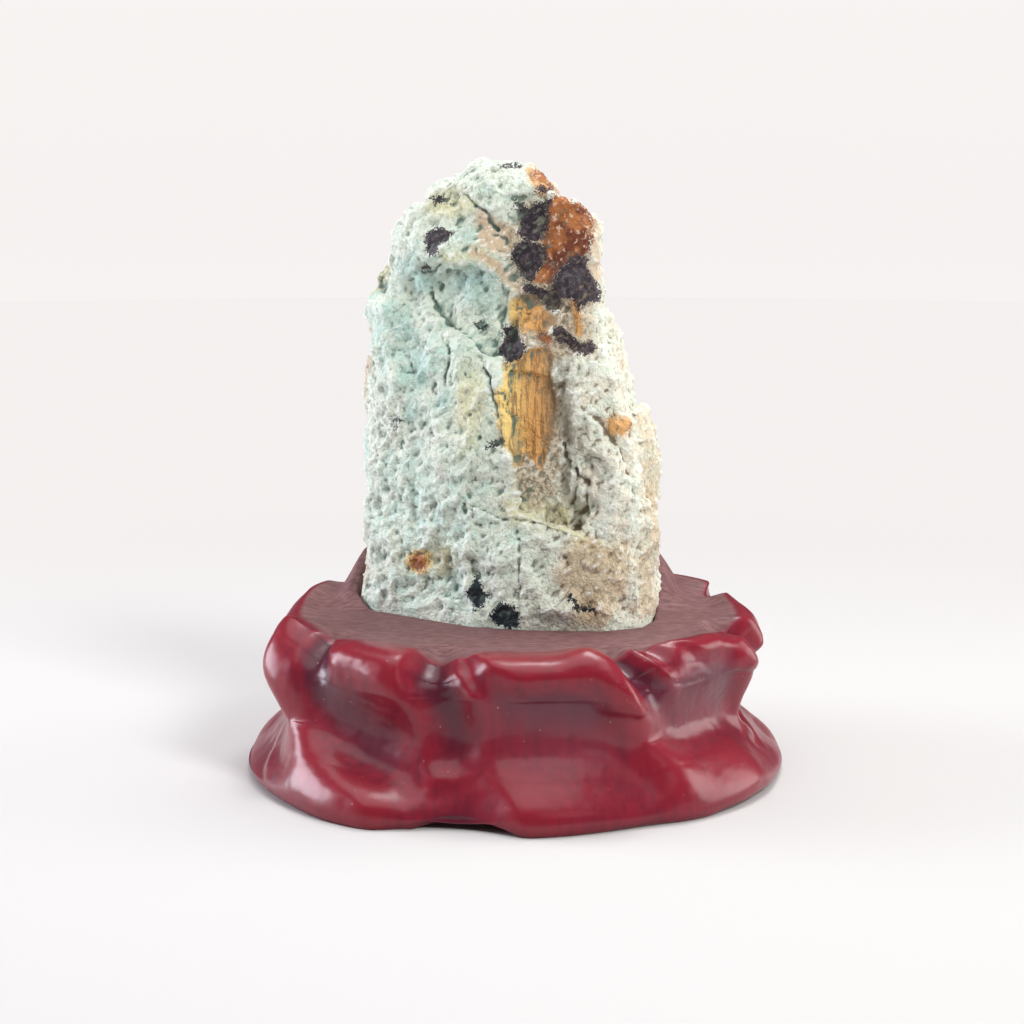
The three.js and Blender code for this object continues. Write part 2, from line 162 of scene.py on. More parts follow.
def seen_from_front(places):
    ahead = AIM - CAMERA
    distance = np.linalg.norm(ahead)
    ahead = ahead / distance
    right = np.array([1.0, 0.0, 0.0])
    up = np.cross(right, ahead)
    away = places - CAMERA
    depth = away @ ahead
    return np.stack([distance * (away @ right) / depth, AIM[2] + distance * (away @ up) / depth], axis=1)


def to_segment(view, start, end):
    run = np.subtract(end, start)
    share = np.clip((view - start) @ run / (run @ run), 0, 1)
    return np.linalg.norm(view - start - share[:, None] * run, axis=1)


def line(view, path, width):
    """How far inside a stroke of a given half-width each place is, in millimetres."""
    return width - np.min([to_segment(view, a, b) for a, b in zip(path, path[1:])], axis=0)


def patch(view, outline):
    """How far inside an outline each place is, in millimetres, negative outside."""
    closed = [*outline, outline[0]]
    within = np.zeros(len(view), dtype=bool)
    for (x, y), (next_x, next_y) in zip(closed, closed[1:]):
        crosses = (y > view[:, 1]) != (next_y > view[:, 1])
        if next_y != y:
            edge_x = x + (next_x - x) * (view[:, 1] - y) / (next_y - y)
            within ^= crosses & (view[:, 0] < edge_x)
    nearest = np.min([to_segment(view, a, b) for a, b in zip(closed, closed[1:])], axis=0)
    return np.where(within, nearest, -nearest)


def spot(view, middle, half_size):
    """How far inside an ellipse each place is, in millimetres, near enough."""
    reach = np.linalg.norm((view - middle) / half_size, axis=1)
    return (1 - reach) * min(half_size)


DARK_PATCHES = {
    "left_patch": [
        (-21.5, 134), (-19, 135.2), (-16, 134.5), (-15.2, 133.2), (-16.5, 131.8), (-18.5, 130.8),
        (-19, 128.8), (-20.5, 128.2), (-21.5, 130.2), (-22, 132),
    ],
    "below_knob": [
        (0.4, 142.6), (4.2, 140.2), (7.4, 141.3), (9.9, 142.4), (9, 139.7), (8.8, 135.9), (8, 133.2),
        (6, 131.5), (3.6, 132.1), (1.7, 133.7), (2.5, 137), (1.7, 139.1), (1.2, 141.3),
    ],
    "left_of_rust": [
        (0.4, 129.9), (2, 131.5), (5.8, 131.5), (8.5, 130.5), (8.2, 126.6), (6, 123.4), (5.2, 121.2),
        (3.1, 122.3), (2, 124.5), (-0.2, 127.7),
    ],
    "spikes": [
        (10.7, 121.2), (11.8, 124.5), (14.5, 126.9), (16.1, 128.5), (18, 128), (18.3, 125), (19.3, 123.4),
        (21, 121.2), (21.8, 116.6), (19.3, 116.6), (17.7, 115.8), (16.6, 114.2), (15.5, 116.9),
        (13.9, 118), (11.2, 117.4), (9, 118),
    ],
    "head_of_channel": [
        (-1.2, 110.7), (0.4, 109.9), (2, 107.1), (3.6, 105.5), (2.5, 102.8), (-0.2, 101.2), (-1.8, 102.3),
        (-3.4, 104.4), (-1.8, 107.1), (-2.1, 109.9),
    ],
    "right_of_channel": [
        (10.1, 109.9), (12.3, 110.4), (14.5, 108.2), (17.2, 106), (19.9, 106.6), (21, 104.4), (18.3, 103.3),
        (15.5, 104.4), (13.4, 106), (10.7, 107.1),
    ],
    "spiked_blot": [
        (-8.8, 48.6), (-8.3, 47), (-7.5, 44.9), (-5.9, 43), (-6.7, 41.9), (-7.8, 40), (-8.9, 39.4),
        (-10.2, 41.9), (-11.6, 43), (-10.5, 44.3), (-9.7, 45.9), (-9.5, 47.8),
    ],
    "foot_blot": [
        (-4, 40.8), (-1.8, 41.3), (0.4, 40.5), (1.4, 39.4), (2, 37.3), (1.4, 35.1), (-1.8, 35.1),
        (-4, 36.2), (-5.1, 38.3),
    ],
    "right_blot": [
        (14.7, 43.5), (15.8, 42.1), (17.2, 40.5), (19.3, 40), (21, 39.2), (18.8, 39.2), (16.6, 39.4),
        (15.3, 40.5), (14.5, 41.9),
    ],
}
DARK_SPECKS = [
    ((-18.3, 142.1), (1.3, 0.8)), ((-21.6, 124.8), (0.5, 0.6)), ((-7.8, 110.7), (1.2, 1.0)),
    ((-29.5, 87), (0.6, 0.4)), ((-29.5, 85), (0.4, 0.5)), ((7.2, 144), (1.0, 0.5)),
]
DARK_STROKES = [
    ([(-2.9, 150.5), (0.9, 150)], 0.5),
    ([(-5.6, 80.4), (-2.9, 81.4)], 0.5),
    ([(-38.1, 91.5), (-37.9, 81.8)], 0.7),
]
MAUVE_BAND = [
    (2.5, 121.8), (5.8, 120.8), (9, 120.1), (11.2, 119), (12.8, 116.9), (12.3, 113.6), (10.1, 113.6),
    (7.4, 115.8), (5.2, 118), (2.5, 119),
]
RUST_PATCH = [
    (9, 141.8), (8.5, 135.3), (7.7, 131.5), (8, 126.7), (6, 121.7), (10.7, 121.2), (11.8, 124.5),
    (14.5, 126.6), (16, 128.2), (18, 127.7), (19.2, 131.5), (18.8, 137), (17.8, 140.2), (15, 141),
    (12.2, 143), (10.7, 142.9),
]
CHANNEL = [
    (-2.1, 101.2), (2, 102.8), (4.7, 105), (9, 105.5), (10.7, 102.8), (9.9, 98.4), (11.2, 92),
    (10.7, 85.5), (9, 79), (7.4, 74.1), (2.8, 79), (2.5, 75.8), (0.4, 75.1), (-1.2, 79.5), (-2.6, 81.1),
    (-4, 87.1), (-5, 93), (-2.4, 96.3),
]
UPPER_OCHRE = [
    (-0.2, 117.4), (3.6, 116.9), (5.8, 118), (8, 115.2), (11.2, 112.6), (11.2, 110.9), (9, 109.9),
    (9.6, 107.1), (7.4, 108.2), (4.7, 109.3), (2.5, 108.2), (0.9, 110.4), (-0.8, 111.5), (-1.2, 114.2),
]
TOP_OCHRE = [
    (3.1, 148.9), (5.8, 148.9), (8.5, 147.2), (10.4, 144.5), (9, 143.5), (7.4, 142.4), (5.8, 144),
    (4.2, 146.2),
]
PEACH = [
    (-9.7, 140.2), (-6.1, 139.1), (-2.9, 137), (1.4, 135.3), (0.9, 131.5), (-0.8, 127.7), (-5.1, 128.3),
    (-8.3, 131), (-9.4, 135.3),
]
LOWER_STAIN = [
    (-2.9, 68.7), (0.4, 66.5), (4.7, 67.1), (8, 67.6), (10.1, 66), (13.4, 64.4), (16.6, 61.1), (18.8, 57.3),
    (22, 54.6), (16.6, 55.2), (11.2, 59.5), (7.4, 61.7), (3.6, 62.2), (-1.2, 62.2), (-1.8, 66),
]
TOP_STAIN = [(-21, 141.2), (-18.5, 143.5), (-13, 144.5), (-9.8, 141), (-11, 139), (-16, 138), (-20, 139.5)]
FLAKE = [
    (-4.8, 93.3), (-2.6, 93.3), (-1.2, 90.3), (0.4, 87.1), (0.4, 83.8), (-0.8, 81.1), (-2.4, 81.1),
    (-3.7, 87.1),
]
SMALL_PLATE = [
    (-8.9, 104.2), (-4, 103.6), (-2.4, 102.8), (-2.4, 97.9), (-4.5, 95.3), (-5.6, 97.9), (-7.3, 100.1),
]
AQUA_PANEL = [
    (-20.8, 119.6), (-17.5, 113.6), (-13.8, 109.9), (-7.8, 106), (-2.9, 103.6), (-1.5, 110), (0, 118),
    (-3, 123), (-9, 126), (-18, 127), (-22, 124),
]
GRIT = [(-1, 79), (9, 101), (12.5, 96), (13.5, 80), (12, 68), (6, 64), (0, 68)]
MIXED = [
    (-2, 131), (2, 143), (9, 142), (20, 130), (21, 116), (20, 104), (10, 101), (-3, 101), (-1, 112), (0, 120),
]
BEIGE = [(14, 57), (29.5, 56), (28.5, 46), (25, 38), (16, 36), (12, 46)]
BRIGHT_FACE = [(18.3, 88.8), (22, 86), (23.2, 82.2), (26.4, 79.5), (24, 76), (20, 79), (18.5, 84)]
PLATES = [(FLAKE, 0.9, 0.3), (SMALL_PLATE, 0.6, 0.3), (BRIGHT_FACE, 0.5, 0.4)]  # outline, height, softness

# Cracks in the front: path, half-width, depth
CRACKS = [
    ([(-20.8, 119.6), (-20, 116.9), (-17.5, 113.6), (-13.8, 109.9), (-7.8, 106), (-2.9, 103.6)], 0.9, 1.5),
    ([(-13.2, 143.9), (-9.5, 140.5), (-6.5, 138.6), (-4, 135.3)], 0.8, 1.1),
    ([(-7.8, 137.2), (-5.6, 136.4), (-4, 135.3)], 0.6, 0.7),
    ([(-4.5, 133.7), (-1.3, 132.6), (-1, 131.5)], 0.6, 0.8),
    ([(-16.2, 105), (-15.6, 102.3), (-17, 98.5), (-17.1, 95.8)], 0.6, 0.7),
    (
        [(-8.3, 103.9), (-7, 100.1), (-5.6, 97.9), (-5, 94.7), (-4.2, 90.9), (-2.9, 86.5), (-2.6, 81.1)],
        0.7, 1.0,
    ),
    ([(-2.6, 93.3), (-1.8, 90.3), (0.4, 87.1), (0.4, 83.8)], 0.5, 0.7),
    ([(-10.5, 66), (-7.8, 64.9), (-5, 63.8), (-1.8, 62.2), (3.1, 62.2), (7.4, 61.1)], 0.7, 0.9),
    ([(2, 57.2), (1.8, 50), (2, 43), (2, 35)], 0.55, 0.6),
    ([(13.4, 81.1), (13.9, 77.9), (16.1, 74.1), (15.8, 70.3), (15, 66.5)], 0.6, 1.0),
    ([(16.1, 74.1), (18.8, 70.9), (18.8, 67.6), (17.7, 64.4)], 0.6, 1.0),
    ([(-34.5, 79.5), (-34, 70.2), (-32.8, 61.8)], 0.6, 0.6),
    ([(17.2, 89.8), (22, 87.1), (23.7, 83.8), (27.5, 81.1), (29.1, 76.8)], 0.7, 0.8),
    ([(27.5, 82.3), (29.1, 75.8), (30.2, 71.9), (30.2, 66.5)], 0.6, 0.6),
]


# Each kind of mark: outlines and how much wider each is drawn, ellipses (middle, half-size), and strokes
# (path, half-width)
MARKS = {
    "dark": (
        [(outline, 0) for outline in DARK_PATCHES.values()] + [(MAUVE_BAND, -0.4)],
        DARK_SPECKS,
        DARK_STROKES,
    ),
    "rust": (
        [(RUST_PATCH, 0)],
        [((-23.5, 51.3), (1.6, 1.9)), ((7, 147.5), (1.5, 0.8))],
        [([(9, 145.8), (10.2, 144.6)], 0.6), ([(7.5, 108), (9, 107)], 0.8)],
    ),
    "ochre": (
        [(CHANNEL, 0), (UPPER_OCHRE, 0), (TOP_OCHRE, 0), (FLAKE, 0)],
        [((26.6, 85.7), (3.6, 2.8)), ((-23.3, 51.6), (3.1, 3.4))],
        [([(15.6, 116.5), (16.8, 109)], 1.1)],
    ),
    "cream": (
        [(PEACH, 0), (TOP_OCHRE, 0.8)],
        [],
        [
            ([(-9.4, 128.8), (-5.1, 126.6), (-1.2, 122.8), (2, 119.6)], 1.6),
            ([(18.8, 136.5), (19.8, 131), (21, 122.5)], 1.2),
        ],
    ),
    "stain": (
        [(LOWER_STAIN, 0), (TOP_STAIN, 0)],
        [((-18, 52), (2.8, 3.2)), ((-10.5, 90), (3.4, 8.6))],
        [([(-16.5, 127.5), (-8.5, 128.8)], 1.2)],
    ),
    "aqua": (
        [],
        [((-9, 120.5), (7, 6)), ((-17.5, 91.5), (4, 3.4)), ((-28.5, 76), (3.4, 2.4)), ((-24, 124), (6, 4))],
        [([(-28.5, 113.5), (-25.5, 106), (-23, 99.5)], 3.4), ([(-25.5, 97), (-25, 88)], 1.4)],
    ),
    "shade": ([], [], [([(11.5, 103), (14, 92), (14.5, 80), (15.5, 70)], 2.6), ([(6, 38), (21, 36)], 3)]),
    "grit": ([(GRIT, 0), (MIXED, 0)], [], []),
    "beige": ([(BEIGE, 0)], [], [([(31.5, 100), (34, 85), (35, 60), (33.5, 40)], 1.2)]),
}


def front_marks(view):
    """Each kind of mark on the stone's front, as how far inside one each place is, in millimetres."""
    marks = {}
    for kind, (outlines, ellipses, strokes) in MARKS.items():
        fields = [patch(view, outline) + wider for outline, wider in outlines]
        fields += [spot(view, middle, half_size) for middle, half_size in ellipses]
        fields += [line(view, path, width) for path, width in strokes]
        marks[kind] = np.max(fields, axis=0)
    return marks


def hidden_marks(places):
    """The same kinds of marks over the sides and back, as the front's run on round them."""
    def ball(x, y, z, radius):
        return radius - np.linalg.norm(places - (x, y, z), axis=1)

    wander = 4 * waves(places, 9, 31)
    rust = np.maximum(ball(20, 8, 132, 11), ball(-20, 24, 74, 5)) + wander
    ochre = np.maximum(ball(14, 24, 92, 14), ball(-32, 16, 60, 7)) + 1.6 * wander
    return {
        "dark": np.maximum(ball(22, 6, 117, 7), ball(8, 28, 104, 7)) + 1.3 * wander,
        "rust": rust,
        "ochre": ochre,
        "cream": np.maximum(ball(12, 14, 140, 12), ball(30, 18, 62, 10)) + 2 * wander,
        "stain": 9 * waves(places, (16, 16, 22), 33) - 3,
        "aqua": 9 * waves(places, (14, 14, 26), 35) - 1 - 7 * smooth(0, 20, places[:, 0]),
        "shade": 8 * waves(places, (10, 10, 18), 37) - 5,
        "grit": np.maximum(ochre, rust) + 2,
        "beige": 9 * waves(places, (15, 15, 24), 39) - 2,
    }


# The stand: the gouge cuts and swellings of the solid, on a finer mesh. Each cut is a path of (degrees round
# from the front, station, half-width, depth). Stations: 0 bottom edge, 1 foot, 2 flare, 3 waist, 4 lip,
# 5 shoulder, 6 edge of the top, and on inwards over the top.
STATION_LENGTH = np.array([0, 3.4, 11.4, 20, 31.8, 38.5, 47, 57, 67])  # up the side, from the bottom edge
TOP_STATION = 6
STAND_FOOT = (68, 66)  # half-sizes across, and front to back
STAND_WAIST = (57.5, 56.5)
STAND_LIP = (62, 58)
STAND_EDGE = (56, 48)
STAND_TOP = 38.0
SIDEWAYS = 1.2  # how far the lip sits to the right
BACK_RISE = 3.4
BACK_BULGE = 3.0
MEAN_RADIUS = 60.0
CARVED_EDGE = 0.9
CUT_STRENGTH = 0.78
SCOOP_STRENGTH = 0.55
SCOOP_FADE = 3.4
SWELL_FALL = 1.6
UNCARVED = -60.0  # a depth too small to count
CREST_RISE = 13.0
SOCKET_GAP = 0.9
CUTS = [
    [(-67, 7.6, 2.6, 2.5), (-60, 6.2, 3.8, 4), (-57, 5.1, 5, 4.4), (-53, 4.1, 7, 3.8), (-48, 3.4, 8, 1.6)],
    [(-51, 3.85, 7, 2.4), (-42, 3.6, 11, 3), (-33, 3, 12.5, 3.2), (-26.5, 2.2, 10, 2.4), (-23, 1.3, 6, 1)],
    [
        (-24, 7.4, 3, 1.5), (-22.5, 6.2, 6.8, 4.6), (-20.5, 5, 8.4, 6.2), (-17.5, 4, 9, 6.6),
        (-13.5, 3.1, 9, 5), (-9, 2.4, 7, 2.2), (-4, 1.7, 5, 0.6),
    ],
    [(-9, -1.4, 16, 7.6), (-10, 0.4, 12, 5.6), (-12, 1.4, 9, 3.6), (-14, 2.1, 5.5, 1.2)],
    [
        (-16.5, 6.9, 1.8, 0.4), (-13.5, 5.7, 3.4, 2), (-9, 4.85, 4.4, 3.4), (-3, 4.1, 5.4, 3.4),
        (3, 3.6, 5.6, 1),
    ],
    [(25.5, 7.4, 2.4, 0.8), (28.5, 6.1, 4.8, 4.8), (31, 4.9, 6, 6.6), (35, 4, 6.4, 6), (40, 3.4, 4, 1.6)],
    [(35, 6.9, 1.6, 0.4), (38.5, 5.8, 3.4, 1.6), (42, 4.9, 4.6, 2.2), (46, 4.3, 5, 1.6)],
    [
        (70, 8.4, 3.5, 1.6), (73.5, 6.9, 7.5, 6.6), (77, 5.6, 8.4, 9.4), (79, 4.4, 8.4, 8.6),
        (78, 3.3, 7, 5), (75, 2.2, 4.4, 1.6),
    ],
    [(106, 7.6, 2.5, 1.5), (109, 6.4, 5, 5.4), (113, 4.9, 5.6, 5.6), (117, 3.6, 4, 3)],
    [(145, 7.4, 3, 2), (141, 6.2, 6.5, 6), (138, 4.4, 7.5, 6.8), (132, 3, 6, 4), (127, 1.8, 4, 1)],
    [(174, 7, 3, 1.5), (170, 5.8, 5, 5), (166, 4.4, 5, 4)],
    [(-157, 7.4, 3, 2), (-160, 6.2, 6.5, 6), (-163, 4.6, 7, 6.6), (-168, 2.8, 6, 4), (-172, 1.8, 4, 1)],
    [(-130, 7.4, 2.5, 1.5), (-126, 6, 5.5, 5.6), (-122, 4.6, 6.5, 5.8), (-116, 3.4, 5, 3)],
    [(128, -1, 11, 6), (128, 0.9, 7, 2)],
    [(-138, -1, 11, 6), (-138, 0.9, 7, 2)],
    [(46, -1.4, 7, 4), (60, -1.2, 8, 4.6), (72, -1.4, 6, 4)],
]
# Scoops have a crisp upper edge and die out gently below.
SCOOPS = [
    [(-118, 3.7, 7, 3), (-99, 3.4, 11, 5.5), (-86, 2.7, 11, 4.6), (-76, 1.4, 8, 2.4), (-70, 0.6, 5, 0.8)],
    [
        (-5, 3.95, 4, 3.6), (2, 3.82, 6.4, 5.8), (9, 3.78, 7.4, 6.6), (17, 3.75, 7.4, 6.2),
        (24, 3.6, 5.6, 3.8), (28, 3.4, 3.6, 1.4),
    ],
    [(43, 4.25, 4.6, 4.4), (50, 4.3, 7, 6.6), (58, 4.2, 7, 6.2), (64, 3.6, 5.4, 3.2), (68, 2.8, 3, 0.8)],
    [(92, 3.9, 6, 4.6), (104, 3.5, 9, 5.6), (118, 3.6, 7, 4.6), (126, 4.2, 4, 2)],
    [(148, 4.2, 5, 4.4), (160, 3.8, 8.5, 6), (172, 3.6, 6, 4)],
    [(-154, 4, 6, 4.6), (-141, 3.7, 9, 6), (-130, 3.6, 6, 3.6)],
]
# Swellings between the cuts: path, width, height
SWELLS = [
    ([(-73, 5.6), (-68, 4), (-59, 2.8), (-50, 1.9), (-39, 1.4), (-30, 1.2)], 8.5, 4.6),
    ([(-45, 5.4), (-32, 5.2)], 8, 2),
    ([(-4, 5.3), (14, 5.2)], 8, 2),
    ([(4, 1.6), (24, 3)], 17, 3.2),
    ([(20, 5.4), (24, 4.4), (30, 3.2), (36, 1.8)], 7, 3),
    ([(46, 5.6), (58, 5.6)], 7, 2),
    ([(67, 5), (69, 3.8), (75, 2.4)], 5, 2.2),
    ([(86, 5.2), (93, 5)], 9, 1.6),
    ([(44, 1.7), (58, 1.6)], 13, 3),
    ([(104, 1.7), (150, 1.6)], 12, 2.4),
    ([(-160, 1.7), (-110, 1.6)], 12, 2.4),
]
STONE_FOOT = [
    (-39, 11), (-35, 4.5), (-10, -14.6), (4, -18.6), (21, -20.4), (31, -16), (34.5, -8), (36.5, 16),
    (27, 28), (4, 33), (-20, 31), (-36, 22),
]


def ellipse(half_x, half_y, angle):
    return 1 / np.hypot(np.sin(angle) / half_x, np.cos(angle) / half_y)


def towards_back(angle):
    return smooth(0.1, 0.6, -np.cos(angle))


def along(station):
    last = len(STATION_LENGTH) - 1
    inner = np.interp(station, np.arange(last + 1), STATION_LENGTH)
    return np.where(np.less(station, 0), np.multiply(station, STATION_LENGTH[1]), inner)


def legs_beside(path, degrees, station):
    """For each leg of a path: the share of the leg, the distance from it, and whether a place is below it."""
    for start, end in zip(path, path[1:]):
        from_x = -np.radians((degrees - start[0] + 540) % 360 - 180) * MEAN_RADIUS
        from_y = along(start[1]) - along(station)
        run_x = math.radians(end[0] - start[0]) * MEAN_RADIUS
        run_y = float(along(end[1]) - along(start[1]))
        share = np.clip(-(from_x * run_x + from_y * run_y) / (run_x ** 2 + run_y ** 2), 0, 1)
        distance = np.hypot(from_x + run_x * share, from_y + run_y * share)
        yield start, end, share, distance, run_x * from_y - run_y * from_x > 0


def carved_depth(degrees, station):
    """How deep the side is carved, and how deep its soft scoops alone are, in millimetres."""
    total = np.ones(degrees.shape)
    scooped = np.zeros(degrees.shape)
    for path, soft in [(path, False) for path in CUTS] + [(path, True) for path in SCOOPS]:
        deepest = np.full(degrees.shape, UNCARVED)
        for start, end, share, distance, below in legs_beside(path, degrees, station):
            width = lerp(start[2], end[2], share)
            depth = lerp(start[3], end[3], share) * (SCOOP_STRENGTH if soft else CUT_STRENGTH)
            profile = 1 - (distance / width) ** 2
            if soft:
                gentle = np.maximum(1 - (distance / width / SCOOP_FADE) ** 2, 0) ** 2
                profile = np.where(below, gentle, profile)
            deepest = np.maximum(deepest, depth * profile)
        if soft:
            scooped = np.maximum(scooped, deepest)
        total += np.maximum(np.exp(deepest / CARVED_EDGE) - 1, 0)
    depth = CARVED_EDGE * np.log(total)
    for path, width, height in SWELLS:
        nearest = np.min([leg[3] for leg in legs_beside(path, degrees, station)], axis=0)
        depth -= height * np.exp(-SWELL_FALL * (nearest / width) ** 2)
    return depth, scooped


def evened(grid, sigma_rows, sigma_columns):
    """A grid of numbers round the stand, blurred."""
    def weights(sigma):
        reach = max(1, int(3 * sigma))
        bell = np.exp(-np.arange(-reach, reach + 1) ** 2 / (2 * sigma ** 2))
        return reach, bell / bell.sum()

    reach, bell = weights(sigma_columns)
    across = sum(weight * np.roll(grid, k - reach, axis=1) for k, weight in enumerate(bell))
    reach, bell = weights(sigma_rows)
    padded = np.pad(across, ((reach, reach), (0, 0)), mode="edge")
    return sum(weight * padded[k:k + len(grid)] for k, weight in enumerate(bell))


def blank_side(angle, station):
    """Radius and height of the side before carving."""
    foot = ellipse(*STAND_FOOT, angle)
    waist = ellipse(*STAND_WAIST, angle)
    shift = SIDEWAYS * np.sin(angle)
    lip = ellipse(*STAND_LIP, angle) + shift
    edge = ellipse(*STAND_EDGE, angle) + BACK_BULGE * towards_back(angle) + shift
    rise = BACK_RISE * smooth(-0.1, 0.4, -np.cos(angle))
    flat = np.zeros_like(angle)
    stations = np.array([
        [foot - 1.5, flat], [foot, flat + 3], [(foot + waist) / 2 - 1, flat + 10], [waist, flat + 18],
        [lip, 29 + rise / 2], [lip - 3, 35 + rise], [edge, STAND_TOP + rise],
    ])
    held = np.concatenate([stations[:1], stations, stations[-1:]])
    k = min(int(station), TOP_STATION - 1)
    t = station - k
    before, start, end, after = held[k:k + 4]
    bend = 2 * before - 5 * start + 4 * end - after
    twist = 3 * start - before - 3 * end + after
    return 0.5 * (2 * start + (end - before) * t + bend * t ** 2 + twist * t ** 3)


def foot_radius(angle):
    """Distance from the stand's axis to the outline of the stone's foot."""
    out_x, out_y = np.sin(angle), -np.cos(angle)
    radius = np.zeros_like(angle)
    for (x, y), (next_x, next_y) in zip(STONE_FOOT, STONE_FOOT[1:] + STONE_FOOT[:1]):
        run_x, run_y = next_x - x, next_y - y
        cross = out_x * run_y - out_y * run_x
        reach = (x * run_y - y * run_x) / cross
        share = (x * out_y - y * out_x) / cross
        radius = np.where((reach > 0) & (share > -1e-9) & (share < 1 + 1e-9), reach, radius)
    return radius


def top_height(angle, share, edge_height):
    level = lerp(edge_height, STAND_TOP + BACK_RISE * towards_back(angle), smooth(0, 0.35, share))
    crest = CREST_RISE * towards_back(angle) * (0.9 + 0.1 * np.cos(5 * angle + math.radians(40)))
    return level + crest * (smooth(0.4, 0.9, share) - 0.1 * smooth(0.85, 1, share))


def ring(angle, radius, height):
    return np.stack([radius * np.sin(angle), -radius * np.cos(angle), height + 0 * angle], axis=1)


def mesh_object(name, points, faces):
    """A smooth-shaded mesh from points in millimetres round the stand's axis."""
    mesh = bpy.data.meshes.new(name)
    mesh.from_pydata(((points + AXIS) * MM).tolist(), [], faces)
    mesh.validate()
    mesh.polygons.foreach_set("use_smooth", [True] * len(mesh.polygons))
    piece = bpy.data.objects.new(name, mesh)
    bpy.context.collection.objects.link(piece)
    return piece


def keep(piece, name, values):
    """Keeps one number for each point of a piece, for its finish to read."""
    attribute = piece.data.attributes.new(name, "FLOAT", "POINT")
    attribute.data.foreach_set("value", np.asarray(values, dtype=np.float32))


def make_stand():
    degrees = np.linspace(-180, 180, STAND_COLUMNS, endpoint=False)
    angle = np.radians(degrees)
    length = STATION_LENGTH[TOP_STATION]
    whole_stations = np.arange(TOP_STATION + 1)
    stations = np.interp(np.linspace(0, length, STAND_ROWS), STATION_LENGTH[whole_stations], whole_stations)
    depths, scooped = carved_depth(*np.meshgrid(degrees, stations))
    row_step = length / STAND_ROWS
    column_step = 2 * math.pi * MEAN_RADIUS / STAND_COLUMNS
    depths = evened(depths, EVEN_FINE / row_step, EVEN_FINE / column_step)
    hollow = depths - evened(depths, EVEN_BROAD / row_step, EVEN_BROAD / column_step)
    rings = [ring(angle, UNDERSIDE_RADIUS, 0)]
    for station, depth in zip(stations, depths):
        radius, height = blank_side(angle, station)
        above, below = min(station + 0.02, TOP_STATION), max(station - 0.02, 0)
        slope = blank_side(angle, above) - blank_side(angle, below)
        slope /= np.hypot(*slope)
        rings.append(ring(angle, radius - slope[1] * depth, np.maximum(height + slope[0] * depth, 0)))
    edge = rings[-1]
    edge_radius = np.hypot(edge[:, 0], edge[:, 1])
    socket = foot_radius(angle) + SOCKET_GAP
    shares = np.linspace(0, 1, TOP_ROWS + 1)[1:]
    for share in shares:
        rings.append(ring(angle, lerp(edge_radius, socket, share), top_height(angle, share, edge[:, 2])))
    rings.append(ring(angle, socket, SOCKET_FLOOR))
    points = np.concatenate([[[0, 0, 0]], *rings, [[0, 0, SOCKET_FLOOR]]])
    worn = 0.12 * waves(points, (5, 5, 9), 71) + 0.06 * waves(points, 1.8, 72)
    outward = points * (1, 1, 0) / np.maximum(np.hypot(points[:, 0], points[:, 1]), 1)[:, None]
    points += outward * (worn * smooth(2, 6, points[:, 2]))[:, None]
    count = STAND_COLUMNS
    faces = []
    for k in range(count):
        after = (k + 1) % count
        faces.append((0, 1 + after, 1 + k))
        for start in range(1, 1 + (len(rings) - 1) * count, count):
            faces.append((start + k, start + after, start + count + after, start + count + k))
        last = 1 + (len(rings) - 1) * count
        faces.append((last + k, last + after, len(points) - 1))
    piece = mesh_object("carved_stand", points, faces)
    on_top = [0] + [0] * count * (1 + STAND_ROWS)
    for share in shares:
        on_top += [min(share / TOP_FADE, 1)] * count
    keep(piece, "on_top", on_top + [1] * (count + 1))
    for name, values in {"hollow": hollow, "scooped": scooped}.items():
        keep(piece, name, [0] * (1 + count) + values.ravel().tolist() + [0] * (count * (TOP_ROWS + 1) + 1))
    return piece


def shifted_average(points, edges, times):
    """Points evened out along the mesh's edges, a number of times."""
    count = np.bincount(edges.ravel(), minlength=len(points))[:, None]
    moved = points
    for _ in range(times):
        total = np.zeros_like(points)
        for axis in range(3):
            total[:, axis] = np.bincount(edges[:, 0], moved[edges[:, 1], axis], len(points))
            total[:, axis] += np.bincount(edges[:, 1], moved[edges[:, 0], axis], len(points))
        moved = 0.5 * moved + 0.5 * total / count
    return moved


def read(collection, name, width, kind):
    flat = np.empty(len(collection) * width, dtype=kind)
    collection.foreach_get(name, flat)
    return flat.reshape(-1, width)


